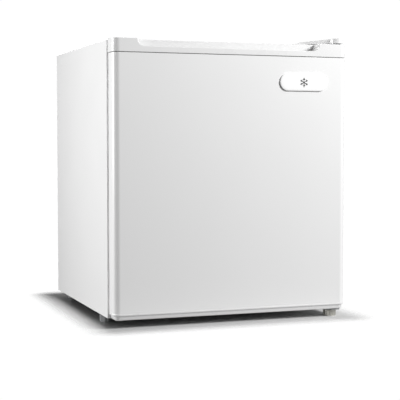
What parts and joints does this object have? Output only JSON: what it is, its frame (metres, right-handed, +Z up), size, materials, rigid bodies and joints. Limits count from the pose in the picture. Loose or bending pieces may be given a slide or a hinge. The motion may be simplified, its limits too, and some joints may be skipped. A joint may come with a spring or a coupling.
{
  "type": "mini fridge",
  "caption": "Compact white refrigerator: insulated steel cabinet, one hinged door with a finger grip, freezer box, shelf and racks, compressor and rear condenser.",
  "frame": {"origin": "middle of the bounding box at floor level, under the feet", "axes": "+Z up, the door faces -Y, and the door hinges are on the +X side, which is the viewer's right from the front"},
  "size_m": [0.44, 0.47, 0.51],
  "materials": {
    "painted_white": "satin white enamel",
    "galvanised": "galvanised",
    "zinc": "zinc plated",
    "brass": "plain",
    "liner_white": "semi-gloss",
    "foam": "matte foam",
    "gloss_white": "semi-gloss",
    "moulded_white": "fine texture",
    "frosted_plastic": "frosted",
    "rack_plastic": "semi-gloss",
    "coated_wire": "plastic coated",
    "aluminium": "satin",
    "gasket": "matte",
    "black_enamel": "satin black",
    "black_plastic": "matte",
    "rubber": "matte",
    "copper": "drawn copper",
    "foot_plastic": "matte"
  },
  "bodies": {
    "cabinet": {"cabinet_wrapper": "painted_white", "back_panel": "galvanised", "base_plate": "galvanised", "inner_liner": "liner_white", "insulation_foam": "foam", "compressor_plate": "galvanised", "compressor": "black_enamel", "compressor_grommets": "rubber", "compressor_bolts": "zinc", "start_relay_cover": "black_plastic", "suction_tube": "copper", "discharge_tube": "copper", "filter_drier": "copper", "capillary_tube": "copper", "condenser_tube": "black_enamel", "condenser_wires": "black_enamel", "condenser_brackets": "black_enamel", "condenser_screws": "zinc", "cord_gland": "rubber", "ground_screw": "brass", "back_panel_screws": "zinc", "rear_feet": "foot_plastic", "left_foot_nut": "zinc", "bottom_hinge_bracket": "galvanised", "bottom_hinge_screws": "zinc", "top_hinge_bracket": "galvanised", "top_hinge_screws": "zinc", "hinge_cover": "gloss_white", "hinge_blank_cover": "gloss_white", "evaporator_box": "aluminium", "evaporator_hangers": "moulded_white", "freezer_frame": "moulded_white", "tray_rails": "moulded_white", "thermostat_housing": "moulded_white", "thermostat_body": "zinc", "sensing_bulb": "copper"},
    "door": {"door_skin": "painted_white", "door_top_cap": "gloss_white", "door_bottom_cap": "gloss_white", "door_foam": "foam", "door_liner": "liner_white", "door_gasket": "gasket", "hinge_bushes": "foot_plastic", "door_cap_plugs": "gloss_white", "badge": "gloss_white"},
    "lower_rack": {"lower_door_rack": "rack_plastic"},
    "upper_rack": {"upper_door_rack": "rack_plastic"},
    "freezer_door": {"freezer_flap": "frosted_plastic"},
    "tray": {"drip_tray": "frosted_plastic"},
    "shelf": {"wire_shelf": "coated_wire"},
    "thermostat_dial": {"thermostat_shaft": "zinc", "thermostat_knob": "moulded_white"},
    "front_left_foot": {"left_foot": "foot_plastic"},
    "front_right_foot": {"right_foot": "foot_plastic"}
  },
  "joints": [
    {"name": "door_swing", "type": "hinge", "parent": "cabinet", "child": "door", "pos_m": [0.206, -0.217, 0.25], "axis": [0, 0, 1], "range_deg": [0, 120]},
    {"name": "lower_rack_lift", "type": "slide", "parent": "door", "child": "lower_rack", "axis": [0, 0, 1], "range_m": [0, 0.015]},
    {"name": "upper_rack_lift", "type": "slide", "parent": "door", "child": "upper_rack", "axis": [0, 0, 1], "range_m": [0, 0.015]},
    {"name": "freezer_flap_swing", "type": "hinge", "parent": "cabinet", "child": "freezer_door", "pos_m": [-0.036, -0.09, 0.451], "axis": [-1, 0, 0], "range_deg": [0, 85]},
    {"name": "drip_tray_slide", "type": "slide", "parent": "cabinet", "child": "tray", "axis": [0, -1, 0], "range_m": [0, 0.05]},
    {"name": "shelf_slide", "type": "slide", "parent": "cabinet", "child": "shelf", "axis": [0, -1, 0], "range_m": [0, 0.032]},
    {"name": "thermostat_turn", "type": "hinge", "parent": "cabinet", "child": "thermostat_dial", "pos_m": [0.143, -0.08, 0.43], "axis": [0, -1, 0], "range_deg": [-300, 0]},
    {"name": "left_foot_turn", "type": "hinge", "parent": "cabinet", "child": "front_left_foot", "pos_m": [-0.2, -0.125, 0.01], "axis": [0, 0, 1], "continuous": true},
    {"name": "right_foot_turn", "type": "hinge", "parent": "cabinet", "child": "front_right_foot", "pos_m": [0.203, -0.202, 0.01], "axis": [0, 0, 1], "continuous": true}
  ]
}
